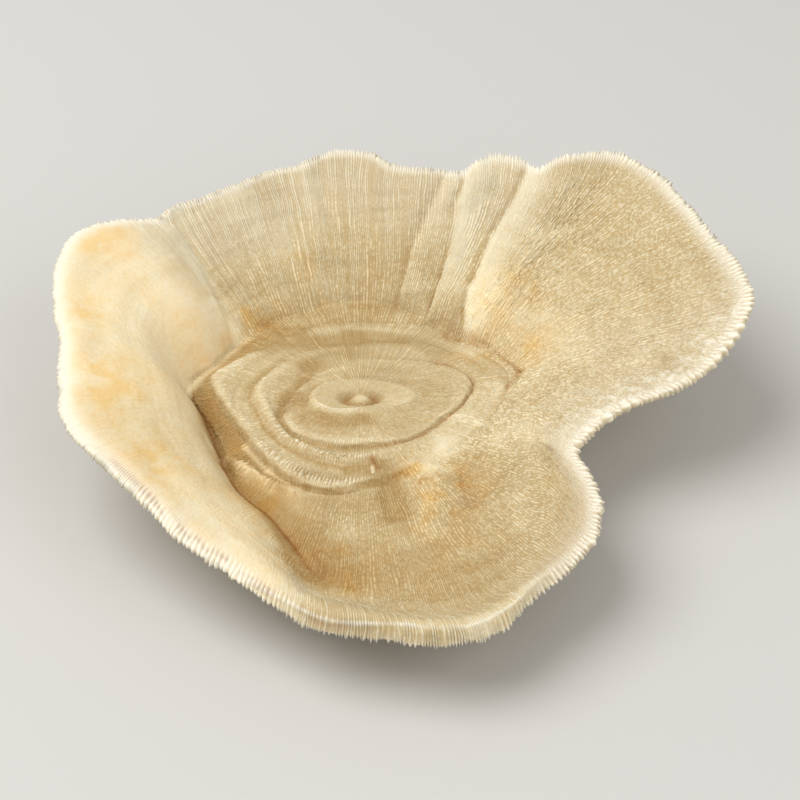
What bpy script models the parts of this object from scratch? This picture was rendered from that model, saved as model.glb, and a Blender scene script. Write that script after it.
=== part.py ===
# Cup coral: one thin saucer-shaped skeleton, about 138 mm across, cut off flat under its stalk.
# Sizes below are in millimetres from the polyp, with heights from the dish's floor, and +Z is up.
import bpy
import bmesh
import numpy as np

MM = 0.001
COLLECTION = "cup_coral"
NODE = "coral_skeleton"
BONE_COLOUR = (0.66, 0.53, 0.33, 1.0)

# Columns run outwards from the polyp, and every second one on the wall is a rib
RIM_COLUMNS = 208
FLOOR_COLUMNS = 104
POLYP_COLUMNS = 52
RIB_RELIEF = 0.7
RIB_STEEPNESS = 0.32
TOOTH_REACH = 0.9
COSTA_RELIEF = 0.35

# Skeleton's thickness at its edge and at the foot of its wall
EDGE_THICKNESS = 1.7
FOOT_THICKNESS = 3.4

# The stalk that carried the saucer, sawn flat under the middle
STALK_CENTRE = (4.0, -1.0)
STALK_RADIUS = 19.0
CUT_HEIGHT = -11.0

# The middle of the cut face is the model's origin
ORIGIN = np.array(STALK_CENTRE + (CUT_HEIGHT,))

# Rim of the saucer: x, y and height, anticlockwise from the right
RIM = [
    (74, 4, 18), (76.5, 10, 20.5), (75, 18, 21.7), (71, 26, 22.7), (66, 38, 23), (60.5, 48, 24),
    (54, 54, 24), (47, 55, 24), (41, 53.5, 23.5), (37, 52, 22.3), (33, 54, 23), (28, 55, 23),
    (24.5, 54, 22.7), (21, 51.5, 21.5), (16, 51.5, 22), (5, 53, 22), (1.5, 57, 22), (-4, 58, 22),
    (-9, 57.5, 21.5), (-12.5, 55, 21), (-18.5, 53.5, 20.5), (-26, 48.5, 20), (-33, 45, 19.3),
    (-39, 41.5, 19), (-42, 38.3, 19), (-46, 36.8, 20), (-52.5, 34.5, 21), (-58, 30.5, 21),
    (-61, 23, 20), (-60.5, 11, 18.2), (-58, -1, 18), (-56.8, -12, 17.3), (-55.5, -21, 16),
    (-50.5, -28, 14.6), (-41, -38, 12), (-31, -47.5, 8.2), (-22, -53.5, 6), (-13.5, -60.5, 4.7),
    (-8, -64.3, 4.2), (1, -66.5, 4), (15, -69, 4), (22, -67.8, 4.2), (28, -63.5, 4.8),
    (33, -57, 5.8), (40, -50, 7), (44, -42, 7.7), (44.5, -36, 8.2), (42.5, -27.5, 9),
    (41, -22.5, 9), (43.5, -17.7, 9.4), (50.5, -12, 11), (60, -8.7, 13), (66, -5.5, 14.5),
    (70.5, -1, 16.2),
]

# Growth lines of the floor about the polyp: bearing in degrees, reach and height
PLATEAU = [
    (0, 10.8, 3.6), (30, 7, 3.7), (60, 5.2, 3.7), (90, 4.8, 3.6), (130, 5.8, 3.6),
    (160, 8.4, 3.6), (180, 9.2, 3.5), (205, 7.4, 3.5), (240, 4.4, 3.5), (270, 3.5, 3.5),
    (300, 4.4, 3.5), (330, 7, 3.5),
]
INNER_GROOVE = [
    (0, 21, 2.1), (14, 23, 2), (27, 21.5, 2), (42, 18.5, 2), (60, 15, 2.1), (85, 13, 2.1),
    (110, 12.3, 2.1), (145, 12.2, 2.1), (175, 14, 2.1), (190, 15.8, 2), (222, 16.3, 2),
    (250, 14, 2), (283, 13.3, 2), (310, 15, 2), (343, 17.7, 2.1),
]
MIDDLE_CREST = [
    (0, 22.8, 2.9), (12, 25, 2.9), (27, 24, 2.9), (43, 22, 2.9), (60, 19.7, 2.8), (83, 17, 2.7),
    (110, 17, 2.7), (131, 18.2, 2.7), (152, 19.4, 2.7), (172, 20.7, 2.7), (186, 19, 2.8),
    (205, 18.2, 2.8), (236, 18, 2.8), (260, 17.8, 2.8), (284, 16.7, 2.8), (300, 16.6, 2.8),
    (331, 18.6, 2.8), (345, 20.3, 2.9),
]
OUTER_CREST = [
    (4, 27.5, 1.9), (18, 29.6, 1.9), (30, 28, 1.8), (47, 26, 1.7), (68, 26, 1.6), (85, 25, 1.6),
    (106, 25.5, 1.6), (121, 25.6, 1.6), (140, 26.4, 1.6), (155, 28.6, 1.7), (165, 30.5, 1.9),
    (174, 28.5, 1.9), (184, 26, 1.8), (195, 24.3, 1.8), (209, 23.4, 1.8), (221, 23.4, 1.8),
    (234, 24, 1.8), (254, 24.9, 1.8), (270, 23.4, 1.7), (290, 21.2, 1.6), (306, 20.6, 1.6),
    (323, 21.6, 1.6), (345, 24.2, 1.8),
]
FOOT_GROOVE = [
    (5, 31, 2.2), (20, 34, 1.4), (30, 33.2, 0.9), (41, 31, 0.6), (54, 30, 0.4), (67, 31.4, 0.2),
    (78, 33.7, 0), (90, 35, 0), (100, 34.4, 0), (113, 33.6, -0.2), (130, 34, -0.4),
    (143, 33.6, -0.6), (155, 33.6, -0.8), (166, 36, -1.2), (174, 34.3, -1.5), (184, 31.2, -1.5),
    (200, 29.8, -1.5), (214, 31.2, -1.4), (228, 33, -1.2), (243, 35.2, -1.2), (252, 40, -1.2),
    (260, 46.5, -1.2), (270, 50, -1), (283, 54.3, -0.6), (295, 56, 0.2), (305, 53.5, 1.6),
    (313, 48, 3.2), (322, 41, 4.2), (333, 35, 4.2), (345, 31.8, 3.6), (355, 30.6, 2.9),
]
COLUMELLA = (0, 0, 3.3)
RIDGE_IN_GROOVE = 1.7

# The outermost ring ends in a ledge: how far outside its crest, then bearing and drop
LEDGE_REACH = 1.3
LEDGE_DROPS = [
    (0, 0.7), (60, 0.6), (120, 0.6), (160, 0.7), (190, 1.1), (212, 2.0), (236, 2.2), (256, 1.8),
    (272, 1.2), (300, 0.9), (330, 0.7),
]

# Wall from its foot to the rim: bearing, then its share of the rise at each of WALL_STAGES
WALL_STAGES = (0.25, 0.5, 0.75, 0.9)
WALL_PROFILES = [
    (0, 0.30, 0.55, 0.79, 0.92), (20, 0.36, 0.62, 0.83, 0.94), (50, 0.33, 0.60, 0.82, 0.93),
    (75, 0.30, 0.55, 0.80, 0.92), (100, 0.28, 0.54, 0.80, 0.93), (132, 0.30, 0.56, 0.80, 0.92),
    (143, 0.48, 0.78, 0.94, 0.99), (160, 0.58, 0.86, 0.98, 1.03), (185, 0.60, 0.87, 0.99, 1.03),
    (205, 0.58, 0.86, 0.99, 1.03), (225, 0.52, 0.82, 1.00, 1.05), (245, 0.45, 0.82, 1.14, 1.16),
    (265, 0.30, 0.80, 1.38, 1.36), (285, 0.22, 0.80, 1.48, 1.45), (300, 0.24, 0.70, 1.18, 1.20),
    (315, 0.26, 0.56, 0.90, 1.00), (335, 0.28, 0.52, 0.78, 0.92),
]

# How far the columns turn between the rim and the foot, so that they leave both squarely
STEERING = [
    (0, 9), (25, 3), (53, -6), (75, -2), (95, 0), (140, 0), (155, 3), (185, 0), (300, 0), (331, 8),
]

# Stages of the wall's lines, from its foot at 0 to its rim at 1
UPPER_STAGES = (0.0, 0.1, 0.22, 0.36, 0.5, 0.64, 0.77, 0.88)
UNDER_STAGES = (0.93, 0.72, 0.48, 0.24, 0.04)
STAGE_STEP = 0.03

# Pleats that bulge into the dish: bearing at the rim and at the foot, half-width and height
PLEATS = [
    (54, 50, 4.2, 2.6), (67, 62, 2.6, 1.6), (80, 74, 2.6, 0.9), (134, 139, 5.0, -2.0),
]


def periodic(places, values, wanted, period):
    """Smooth curve through values at places that repeats each period."""
    order = np.argsort(places)
    places = np.asarray(places, float)[order]
    values = np.asarray(values, float)[order]
    knots = np.concatenate([places - period, places, places + period])
    levels = np.concatenate([values, values, values])
    gaps = np.diff(knots)
    rates = np.diff(levels) / gaps
    slopes = np.zeros_like(knots)
    slopes[1:-1] = (rates[:-1] * gaps[1:] + rates[1:] * gaps[:-1]) / (gaps[1:] + gaps[:-1])
    wanted = np.mod(np.asarray(wanted, float) - places[0], period) + places[0]
    left = np.clip(np.searchsorted(knots, wanted, side="right") - 1, 0, len(knots) - 2)
    return hermite(levels[left], levels[left + 1], slopes[left] * gaps[left],
                   slopes[left + 1] * gaps[left], (wanted - knots[left]) / gaps[left])


def hermite(start, end, start_pull, end_pull, t):
    """Cubic from start to end with the given pull at each end."""
    rise = t * t * (3 - 2 * t)
    return start + (end - start) * rise + start_pull * t * (1 - t) ** 2 - end_pull * t * t * (1 - t)


def bearing_of(points):
    return np.degrees(np.arctan2(points[:, 1], points[:, 0])) % 360


def growth_line(stations, bearing, reach_added=0.0, height_added=0.0):
    """Closed line about the polyp at the given bearings."""
    places = [station[0] for station in stations]
    reach = periodic(places, [station[1] for station in stations], bearing, 360) + reach_added
    height = periodic(places, [station[2] for station in stations], bearing, 360) + height_added
    angle = np.radians(bearing)
    return np.stack([reach * np.cos(angle), reach * np.sin(angle), height], -1)


def rim_line(count):
    """Points evenly spaced along the rim."""
    corners = np.array(RIM, float)
    steps = np.linalg.norm(np.roll(corners, -1, 0)[:, :2] - corners[:, :2], axis=1)
    places = np.concatenate([[0], np.cumsum(steps)])
    wanted = np.arange(count) * places[-1] / count
    return np.stack([periodic(places[:-1], corners[:, k], wanted, places[-1]) for k in range(3)], -1)


def outward(line, passes):
    """Unit directions square to a closed line in plan, evened out along it."""
    along = (np.roll(line, -1, 0) - np.roll(line, 1, 0))[:, :2]
    square = np.stack([along[:, 1], -along[:, 0]], -1)
    square /= np.linalg.norm(square, axis=1, keepdims=True)
    for _ in range(passes):
        square = (np.roll(square, 1, 0) + 2 * square + np.roll(square, -1, 0)) / 4
    return square / np.linalg.norm(square, axis=1, keepdims=True)


def wall_rise(bearing, t):
    """Share of the wall's height reached at stage t, for each bearing."""
    places = [profile[0] for profile in WALL_PROFILES]
    stages = (0.0,) + WALL_STAGES + (1.0,)
    shares = [np.zeros_like(bearing)]
    for k in range(len(WALL_STAGES)):
        shares.append(periodic(places, [profile[k + 1] for profile in WALL_PROFILES], bearing, 360))
    shares.append(np.ones_like(bearing))
    pulls = []
    for k in range(len(stages)):
        before = max(k - 1, 0)
        after = min(k + 1, len(stages) - 1)
        pulls.append((shares[after] - shares[before]) / (stages[after] - stages[before]))
    k = min(int(np.searchsorted(stages, t, side="right")) - 1, len(stages) - 2)
    gap = stages[k + 1] - stages[k]
    return hermite(shares[k], shares[k + 1], pulls[k] * gap, pulls[k + 1] * gap, (t - stages[k]) / gap)


def pleat_height(rim_bearing, foot_bearing, reach, t):
    """How far the pleats push the wall into the dish at stage t."""
    bulge = np.zeros_like(rim_bearing)
    here = rim_bearing * t + (rim_bearing + foot_bearing) * (1 - t)
    for at_rim, at_foot, half_width, height in PLEATS:
        away = (here - (at_rim * t + at_foot * (1 - t)) + 180) % 360 - 180
        across = np.radians(away) * reach / half_width
        bulge += height * np.exp(-across ** 2) * np.sin(np.pi * min(0.15 + 0.85 * t, 1.0)) ** 0.8
    return bulge


def wall_line(rim, t):
    """Closed line on the wall's upper face, from its foot at 0 to its rim at 1."""
    bearing = bearing_of(rim)
    turn = periodic([s[0] for s in STEERING], [s[1] for s in STEERING], bearing, 360)
    foot = growth_line(FOOT_GROOVE, bearing + turn)
    span = np.linalg.norm(rim[:, :2] - foot[:, :2], axis=1, keepdims=True)
    line = np.empty_like(rim)
    line[:, :2] = hermite(foot[:, :2], rim[:, :2], outward(foot, 40) * span * 0.8,
                          outward(rim, 40) * span * 0.8, t)
    line[:, 2] = foot[:, 2] + (rim[:, 2] - foot[:, 2]) * wall_rise(bearing, t)
    bulge = pleat_height(bearing, turn, np.linalg.norm(line[:, :2], axis=1), t)
    line[:, :2] -= outward(line, 10) * bulge[:, None] * 0.7
    line[:, 2] += bulge * 0.7
    return line


def face_up(line, inner, outer):
    """Unit directions out of the upper face along a line between two others."""
    along = np.roll(line, -1, 0) - np.roll(line, 1, 0)
    normal = np.cross(outer - inner, along)
    return normal / np.linalg.norm(normal, axis=1, keepdims=True)


def ribbed(line, normal, relief):
    """Sinks every second column, which leaves ribs between them. Close columns sink less."""
    gap = np.linalg.norm(np.roll(line, -1, 0) - line, axis=1)
    gap = np.minimum(gap, np.roll(gap, 1))
    sunk = np.arange(len(line)) % 2 * np.minimum(relief, gap * RIB_STEEPNESS)
    return line - normal * sunk[:, None]


def upper_lines(rim):
    """Lines of the upper face from the polyp's pit out to the foot of the wall."""
    bearing = bearing_of(rim)
    turn = periodic([s[0] for s in STEERING], [s[1] for s in STEERING], bearing, 360)
    bearing = (bearing + turn) % 360
    inner = bearing[::RIM_COLUMNS // POLYP_COLUMNS]
    middle = bearing[::RIM_COLUMNS // FLOOR_COLUMNS]
    plateau = growth_line(PLATEAU, inner)
    groove = growth_line(INNER_GROOVE, inner, 0, -0.4)
    ledge = growth_line(INNER_GROOVE, inner, -RIDGE_IN_GROOVE, 0.9)
    crest = growth_line(OUTER_CREST, middle)
    foot = growth_line(FOOT_GROOVE, middle)
    below = growth_line(OUTER_CREST, middle, LEDGE_REACH)
    below[:, 2] -= periodic([drop[0] for drop in LEDGE_DROPS], [drop[1] for drop in LEDGE_DROPS], middle, 360)
    return [
        plateau * (0.22, 0.32, 0) + (0, 0, 2.1),
        plateau * (0.62, 0.68, 1) - (0, 0, 0.7),
        plateau,
        plateau * 0.6 + ledge * 0.4 - (0, 0, 0.5),
        ledge,
        groove,
        growth_line(MIDDLE_CREST, middle),
        growth_line(MIDDLE_CREST, middle, 1.7, -1.8),
        crest,
        below,
        below * 0.5 + foot * 0.5 + (0, 0, 0.2),
    ]


def stalk_line(above, grow, height):
    """Closed line round the stalk, at the bearings of the line above it."""
    centre = np.array(STALK_CENTRE)
    away = above[:, :2] - centre
    angle = np.arctan2(away[:, 1], away[:, 0])
    reach = (STALK_RADIUS + grow) * (1 + 0.05 * np.cos(3 * angle + 0.6) + 0.03 * np.cos(5 * angle))
    flat = centre + reach[:, None] * np.stack([np.cos(angle), np.sin(angle)], -1)
    return np.column_stack([flat, np.full(len(flat), height)])


def under_lines(rim):
    """Lines of the underside from the rim's lower edge in to the cut face."""
    lines = []
    for t in UNDER_STAGES:
        line = wall_line(rim, t)
        normal = face_up(line, wall_line(rim, t - STAGE_STEP), wall_line(rim, t + STAGE_STEP))
        thick = FOOT_THICKNESS + (EDGE_THICKNESS - FOOT_THICKNESS) * t
        every = RIM_COLUMNS // FLOOR_COLUMNS
        lines.append(ribbed((line - normal * thick)[::every], -normal[::every], COSTA_RELIEF))
    foot = lines[-1]
    flare = stalk_line(foot, 3.6, -6.4)
    lines.append(foot * 0.5 + flare * 0.5 + (0, 0, 0.5))
    lines.append(flare)
    lines.append(stalk_line(foot, 1.0, -8.6))
    lines.append(stalk_line(foot, 0.0, CUT_HEIGHT))
    return lines


def edge_lines(rim):
    """Toothed edge of the rim: its upper corner, its tips and its lower corner."""
    inner = wall_line(rim, 0.94)
    slope = (rim - inner) / np.linalg.norm(rim - inner, axis=1, keepdims=True)
    normal = face_up(rim, inner, rim)
    tooth = (np.arange(len(rim)) % 2 == 0)[:, None] * slope * TOOTH_REACH
    upper = rim - slope * 0.5
    tips = rim + tooth - normal * EDGE_THICKNESS * 0.5
    lower = rim + tooth * 0.4 - slope * 0.4 - normal * EDGE_THICKNESS
    return [upper, tips, lower]


def skeleton_lines():
    """All closed lines in order, from the polyp over the rim to the cut face."""
    rim = rim_line(RIM_COLUMNS)
    lines = upper_lines(rim)
    for t in UPPER_STAGES:
        line = wall_line(rim, t)
        normal = face_up(line, wall_line(rim, max(t - STAGE_STEP, 0)), wall_line(rim, t + STAGE_STEP))
        lines.append(ribbed(line, normal, RIB_RELIEF * min(0.3 + t * 2, 1)))
    return lines + edge_lines(rim) + under_lines(rim)


def loft(mesh, lines):
    """Skins the lines in order. A line may have as many points as the next, twice or half."""
    rows = [[mesh.verts.new((point - ORIGIN) * MM) for point in line] for line in lines]
    for near, far in zip(rows[:-1], rows[1:]):
        skin_between(mesh, near, far)
    return rows


def skin_between(mesh, near, far):
    count = min(len(near), len(far))
    near_step = len(near) // count
    far_step = len(far) // count
    for k in range(count):
        ring = [near[(k * near_step + j) % len(near)] for j in range(near_step + 1)]
        back = [far[(k * far_step + j) % len(far)] for j in range(far_step + 1)]
        if near_step == far_step:
            mesh.faces.new([ring[0], back[0], back[1], ring[1]])
        elif near_step < far_step:
            mesh.faces.new([ring[0], back[0], back[1]])
            mesh.faces.new([ring[0], back[1], ring[1]])
            mesh.faces.new([ring[1], back[1], back[2]])
        else:
            mesh.faces.new([ring[0], back[0], ring[1]])
            mesh.faces.new([ring[1], back[0], back[1]])
            mesh.faces.new([ring[1], back[1], ring[2]])


def close_ends(mesh, rows):
    """The columella in the polyp's pit, and the flat cut face."""
    columella = mesh.verts.new((np.array(COLUMELLA) - ORIGIN) * MM)
    first = rows[0]
    for k in range(len(first)):
        mesh.faces.new([columella, first[k], first[(k + 1) % len(first)]])
    mesh.faces.new(rows[-1][::-1])


def bone_material():
    material = bpy.data.materials.new("coral bone")
    material.use_nodes = True
    shader = material.node_tree.nodes["Principled BSDF"]
    shader.inputs["Base Color"].default_value = BONE_COLOUR
    shader.inputs["Roughness"].default_value = 0.85
    shader.inputs["Metallic"].default_value = 0.0
    return material


def make_skeleton(collection):
    mesh = bmesh.new()
    close_ends(mesh, loft(mesh, skeleton_lines()))
    bmesh.ops.recalc_face_normals(mesh, faces=mesh.faces)
    data = bpy.data.meshes.new(NODE)
    mesh.to_mesh(data)
    mesh.free()
    data.shade_smooth()
    data.materials.append(bone_material())
    skeleton = bpy.data.objects.new(NODE, data)
    collection.objects.link(skeleton)


def main():
    for old in list(bpy.data.objects):
        bpy.data.objects.remove(old, do_unlink=True)
    collection = bpy.data.collections.new(COLLECTION)
    bpy.context.scene.collection.children.link(collection)
    make_skeleton(collection)


main()
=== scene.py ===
import bmesh
import bpy
import math
import numpy as np
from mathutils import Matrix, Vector


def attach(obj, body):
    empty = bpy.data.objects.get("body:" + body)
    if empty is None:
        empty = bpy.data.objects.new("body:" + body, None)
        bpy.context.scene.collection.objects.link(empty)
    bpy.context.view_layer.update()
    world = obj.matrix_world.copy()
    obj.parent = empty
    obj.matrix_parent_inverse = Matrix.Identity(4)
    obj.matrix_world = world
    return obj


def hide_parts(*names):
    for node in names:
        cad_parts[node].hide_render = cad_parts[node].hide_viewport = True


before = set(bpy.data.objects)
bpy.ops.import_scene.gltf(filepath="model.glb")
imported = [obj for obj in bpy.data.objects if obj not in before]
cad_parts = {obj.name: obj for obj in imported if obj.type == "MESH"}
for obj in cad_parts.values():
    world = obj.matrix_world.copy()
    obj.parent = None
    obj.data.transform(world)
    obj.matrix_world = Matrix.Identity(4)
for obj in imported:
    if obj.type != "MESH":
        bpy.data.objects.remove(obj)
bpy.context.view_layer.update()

# sizes below are in millimetres from the polyp, with heights from the dish's floor
mm = 0.001
weldGap = 0.001 * mm
middleHole = 2 * mm
bodyName = "root"
nodeName = "coral_skeleton"

# the stalk, cut flat; the middle of its cut face is the model's origin
stalk = {
    "centre": (4.0, -1.0), "radius": 19.0, "cutHeight": -11.0,
    "flareReach": 3.6, "flareHeight": -6.4, "neckReach": 1.0, "neckHeight": -8.6,
}
origin = np.array(stalk["centre"] + (stalk["cutHeight"],))

# rim of the saucer: x, y and height, anticlockwise from the right
rimCorners = [
    (74, 4, 18), (76.5, 10, 20.5), (75, 18, 21.7), (71, 26, 22.7), (66, 38, 23), (60.5, 48, 24),
    (54, 54, 24), (47, 55, 24), (41, 53.5, 23.5), (37, 52, 22.3), (33, 54, 23), (28, 55, 23),
    (24.5, 54, 22.7), (21, 51.5, 21.5), (16, 51.5, 22), (5, 53, 22), (1.5, 57, 22), (-4, 58, 22),
    (-9, 57.5, 21.5), (-12.5, 55, 21), (-18.5, 53.5, 20.5), (-26, 48.5, 20), (-33, 45, 19.3),
    (-39, 41.5, 19), (-42, 38.3, 19), (-46, 36.8, 20), (-52.5, 34.5, 21), (-58, 30.5, 21),
    (-61, 23, 20), (-60.5, 11, 18.2), (-58, -1, 18), (-56.8, -12, 17.3), (-55.5, -21, 16),
    (-50.5, -28, 14.6), (-41, -38, 12), (-31, -47.5, 8.2), (-22, -53.5, 6), (-13.5, -60.5, 4.7),
    (-8, -64.3, 4.2), (1, -66.5, 4), (15, -69, 4), (22, -67.8, 4.2), (28, -63.5, 4.8), (33, -57, 5.8),
    (40, -50, 7), (44, -42, 7.7), (44.5, -36, 8.2), (42.5, -27.5, 9), (41, -22.5, 9),
    (43.5, -17.7, 9.4), (50.5, -12, 11), (60, -8.7, 13), (66, -5.5, 14.5), (70.5, -1, 16.2),
]

# growth lines of the floor about the polyp: bearing in degrees, reach and height
growthLines = {
    "plateau": [
        (0, 10.8, 3.6), (30, 7, 3.7), (60, 5.2, 3.7), (90, 4.8, 3.6), (130, 5.8, 3.6),
        (160, 8.4, 3.6), (180, 9.2, 3.5), (205, 7.4, 3.5), (240, 4.4, 3.5), (270, 3.5, 3.5),
        (300, 4.4, 3.5), (330, 7, 3.5),
    ],
    "innerGroove": [
        (0, 21, 2.1), (14, 23, 2), (27, 21.5, 2), (42, 18.5, 2), (60, 15, 2.1), (85, 13, 2.1),
        (110, 12.3, 2.1), (145, 12.2, 2.1), (175, 14, 2.1), (190, 15.8, 2), (222, 16.3, 2),
        (250, 14, 2), (283, 13.3, 2), (310, 15, 2), (343, 17.7, 2.1),
    ],
    "middleCrest": [
        (0, 22.8, 2.9), (12, 25, 2.9), (27, 24, 2.9), (43, 22, 2.9), (60, 19.7, 2.8), (83, 17, 2.7),
        (110, 17, 2.7), (131, 18.2, 2.7), (152, 19.4, 2.7), (172, 20.7, 2.7), (186, 19, 2.8),
        (205, 18.2, 2.8), (236, 18, 2.8), (260, 17.8, 2.8), (284, 16.7, 2.8), (300, 16.6, 2.8),
        (331, 18.6, 2.8), (345, 20.3, 2.9),
    ],
    "outerCrest": [
        (4, 27.5, 1.9), (18, 29.6, 1.9), (30, 28, 1.8), (47, 26, 1.7), (68, 26, 1.6), (85, 25, 1.6),
        (106, 25.5, 1.6), (121, 25.6, 1.6), (140, 26.4, 1.6), (155, 28.6, 1.7), (165, 30.5, 1.9),
        (174, 28.5, 1.9), (184, 26, 1.8), (195, 24.3, 1.8), (209, 23.4, 1.8), (221, 23.4, 1.8),
        (234, 24, 1.8), (254, 24.9, 1.8), (270, 23.4, 1.7), (290, 21.2, 1.6), (306, 20.6, 1.6),
        (323, 21.6, 1.6), (345, 24.2, 1.8),
    ],
    "footGroove": [
        (5, 31, 2.2), (20, 34, 1.4), (30, 33.2, 0.9), (41, 31, 0.6), (54, 30, 0.4), (67, 31.4, 0.2),
        (78, 33.7, 0), (90, 35, 0), (100, 34.4, 0), (113, 33.6, -0.2), (130, 34, -0.4),
        (143, 33.6, -0.6), (155, 33.6, -0.8), (166, 36, -1.2), (174, 34.3, -1.5), (184, 31.2, -1.5),
        (200, 29.8, -1.5), (214, 31.2, -1.4), (228, 33, -1.2), (243, 35.2, -1.2), (252, 40, -1.2),
        (260, 46.5, -1.2), (270, 50, -1), (283, 54.3, -0.6), (295, 56, 0.2), (305, 53.5, 1.6),
        (313, 48, 3.2), (322, 41, 4.2), (333, 35, 4.2), (345, 31.8, 3.6), (355, 30.6, 2.9),
    ],
}

# share of the wall's rise at each stage between its foot and the rim: bearing, then the shares
wallStages = (0.25, 0.5, 0.75, 0.9)
wallProfiles = [
    (0, 0.3, 0.55, 0.79, 0.92), (20, 0.36, 0.62, 0.83, 0.94), (50, 0.33, 0.6, 0.82, 0.93),
    (75, 0.3, 0.55, 0.8, 0.92), (100, 0.28, 0.54, 0.8, 0.93), (132, 0.3, 0.56, 0.8, 0.92),
    (143, 0.48, 0.78, 0.94, 0.99), (160, 0.58, 0.86, 0.98, 1.03), (185, 0.6, 0.87, 0.99, 1.03),
    (205, 0.58, 0.86, 0.99, 1.03), (225, 0.52, 0.82, 1, 1.05), (245, 0.45, 0.82, 1.14, 1.16),
    (265, 0.3, 0.8, 1.38, 1.36), (285, 0.22, 0.8, 1.48, 1.45), (300, 0.24, 0.7, 1.18, 1.2),
    (315, 0.26, 0.56, 0.9, 1), (335, 0.28, 0.52, 0.78, 0.92),
]

# how far the septa turn between the rim and the foot, so that they meet both squarely
steering = [
    (0, 9), (25, 3), (53, -6), (75, -2), (95, 0), (140, 0), (155, 3), (185, 0), (300, 0), (331, 8),
]

# pleats that bulge into the dish: bearing at the rim and at the foot, half-widths before and
# after it, and height
pleats = [
    (54, 50, 11, 4.2, 2.2), (67, 62, 5, 2.8, 1.4), (80, 74, 3.6, 2.6, 0.8), (134, 139, 5, 5, -1.8),
]

# the septa: thin radial ridges, one to a tooth at the rim, merging towards the polyp
septa = {
    "count": 832, "pitch": 0.52, "height": 0.30, "unevenness": 0.42,
    "beadHeight": 0.13, "beadLength": 0.34, "sway": 0.16, "swayLength": 5.0,
}


def hermite(start, end, startPull, endPull, t):
    rise = t * t * (3 - 2 * t)
    return start + (end - start) * rise + startPull * t * (1 - t) ** 2 - endPull * t * t * (1 - t)


# smooth curve through values at places that repeats each period
def periodic(places, values, wanted, period):
    order = np.argsort(places)
    places = np.asarray(places, float)[order]
    values = np.asarray(values, float)[order]
    knots = np.concatenate([places - period, places, places + period])
    levels = np.concatenate([values, values, values])
    gaps = np.diff(knots)
    rates = np.diff(levels) / gaps
    slopes = np.zeros_like(knots)
    slopes[1:-1] = (rates[:-1] * gaps[1:] + rates[1:] * gaps[:-1]) / (gaps[1:] + gaps[:-1])
    wanted = np.mod(np.asarray(wanted, float) - places[0], period) + places[0]
    left = np.clip(np.searchsorted(knots, wanted, side="right") - 1, 0, len(knots) - 2)
    return hermite(levels[left], levels[left + 1], slopes[left] * gaps[left],
                   slopes[left + 1] * gaps[left], (wanted - knots[left]) / gaps[left])


def column(table, index):
    return [row[index] for row in table]


# value in a column of a table whose rows start with a bearing
def atBearing(table, index, bearing):
    return periodic(column(table, 0), column(table, index), bearing, 360)


def roundLine(centre, reach, angle, height):
    x, y = centre[0] + reach * np.cos(angle), centre[1] + reach * np.sin(angle)
    return np.stack([x, y, height + 0 * angle], -1)


def growthLine(name, bearing, addedReach=0.0):
    reach = atBearing(growthLines[name], 1, bearing) + addedReach
    height = atBearing(growthLines[name], 2, bearing)
    return roundLine((0, 0), reach, np.radians(bearing), height)


def rimLine(count):
    corners = np.array(rimCorners, float)
    steps = np.linalg.norm(np.roll(corners, -1, 0)[:, :2] - corners[:, :2], axis=1)
    places = np.concatenate([[0], np.cumsum(steps)])
    wanted = np.arange(count) * places[-1] / count
    return np.stack([periodic(places[:-1], corners[:, k], wanted, places[-1]) for k in range(3)], -1)


# evens values out along a closed line; the width is in shares of the whole line
def evened(values, width):
    count = len(values)
    away = np.minimum(np.arange(count), count - np.arange(count)) / count
    kernel = np.exp(-0.5 * (away / width) ** 2)
    spectrum = np.fft.rfft(kernel / kernel.sum())
    return np.fft.irfft(np.fft.rfft(values, axis=0) * spectrum[:, None], count, axis=0)


def unit(vectors):
    return vectors / np.linalg.norm(vectors, axis=-1, keepdims=True)


def squareOut(line, width):
    along = (np.roll(line, -1, 0) - np.roll(line, 1, 0))[:, :2]
    square = unit(np.stack([along[:, 1], -along[:, 0]], -1))
    return unit(evened(square, width))


def wallRise(bearing, t):
    stages = (0.0,) + wallStages + (1.0,)
    shares = [atBearing(wallProfiles, k + 1, bearing) for k in range(len(wallStages))]
    shares = [0 * bearing] + shares + [0 * bearing + 1]
    pulls = []
    for k in range(len(stages)):
        before, after = max(k - 1, 0), min(k + 1, len(stages) - 1)
        pulls.append((shares[after] - shares[before]) / (stages[after] - stages[before]))
    k = min(int(np.searchsorted(stages, t, side="right")) - 1, len(stages) - 2)
    gap = stages[k + 1] - stages[k]
    return hermite(shares[k], shares[k + 1], pulls[k] * gap, pulls[k + 1] * gap, (t - stages[k]) / gap)


def pleatHeight(bearing, turn, reach, t):
    bulge = np.zeros_like(bearing)
    here = bearing + turn * (1 - t)
    swell = math.sin(math.pi * min(0.15 + 0.85 * t, 1.0)) ** 0.8
    for atRim, atFoot, before, after, height in pleats:
        away = (here - (atRim * t + atFoot * (1 - t)) + 180) % 360 - 180
        halfWidth = np.where(away < 0, before, after)
        bulge += height * bell(np.radians(away) * reach, halfWidth) * swell
    return bulge


# everything about the septa's columns that does not change along them
def makeColumns(count):
    rim = rimLine(count)
    bearing = np.degrees(np.arctan2(rim[:, 1], rim[:, 0])) % 360
    turn = atBearing(steering, 1, bearing)
    foot = growthLine("footGroove", bearing + turn)
    return {
        "rim": rim,
        "bearing": bearing,
        "turn": turn,
        "foot": foot,
        "span": np.linalg.norm(rim[:, :2] - foot[:, :2], axis=1, keepdims=True),
        "footOut": squareOut(foot, 0.02),
        "rimOut": squareOut(rim, 0.02),
    }


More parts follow.
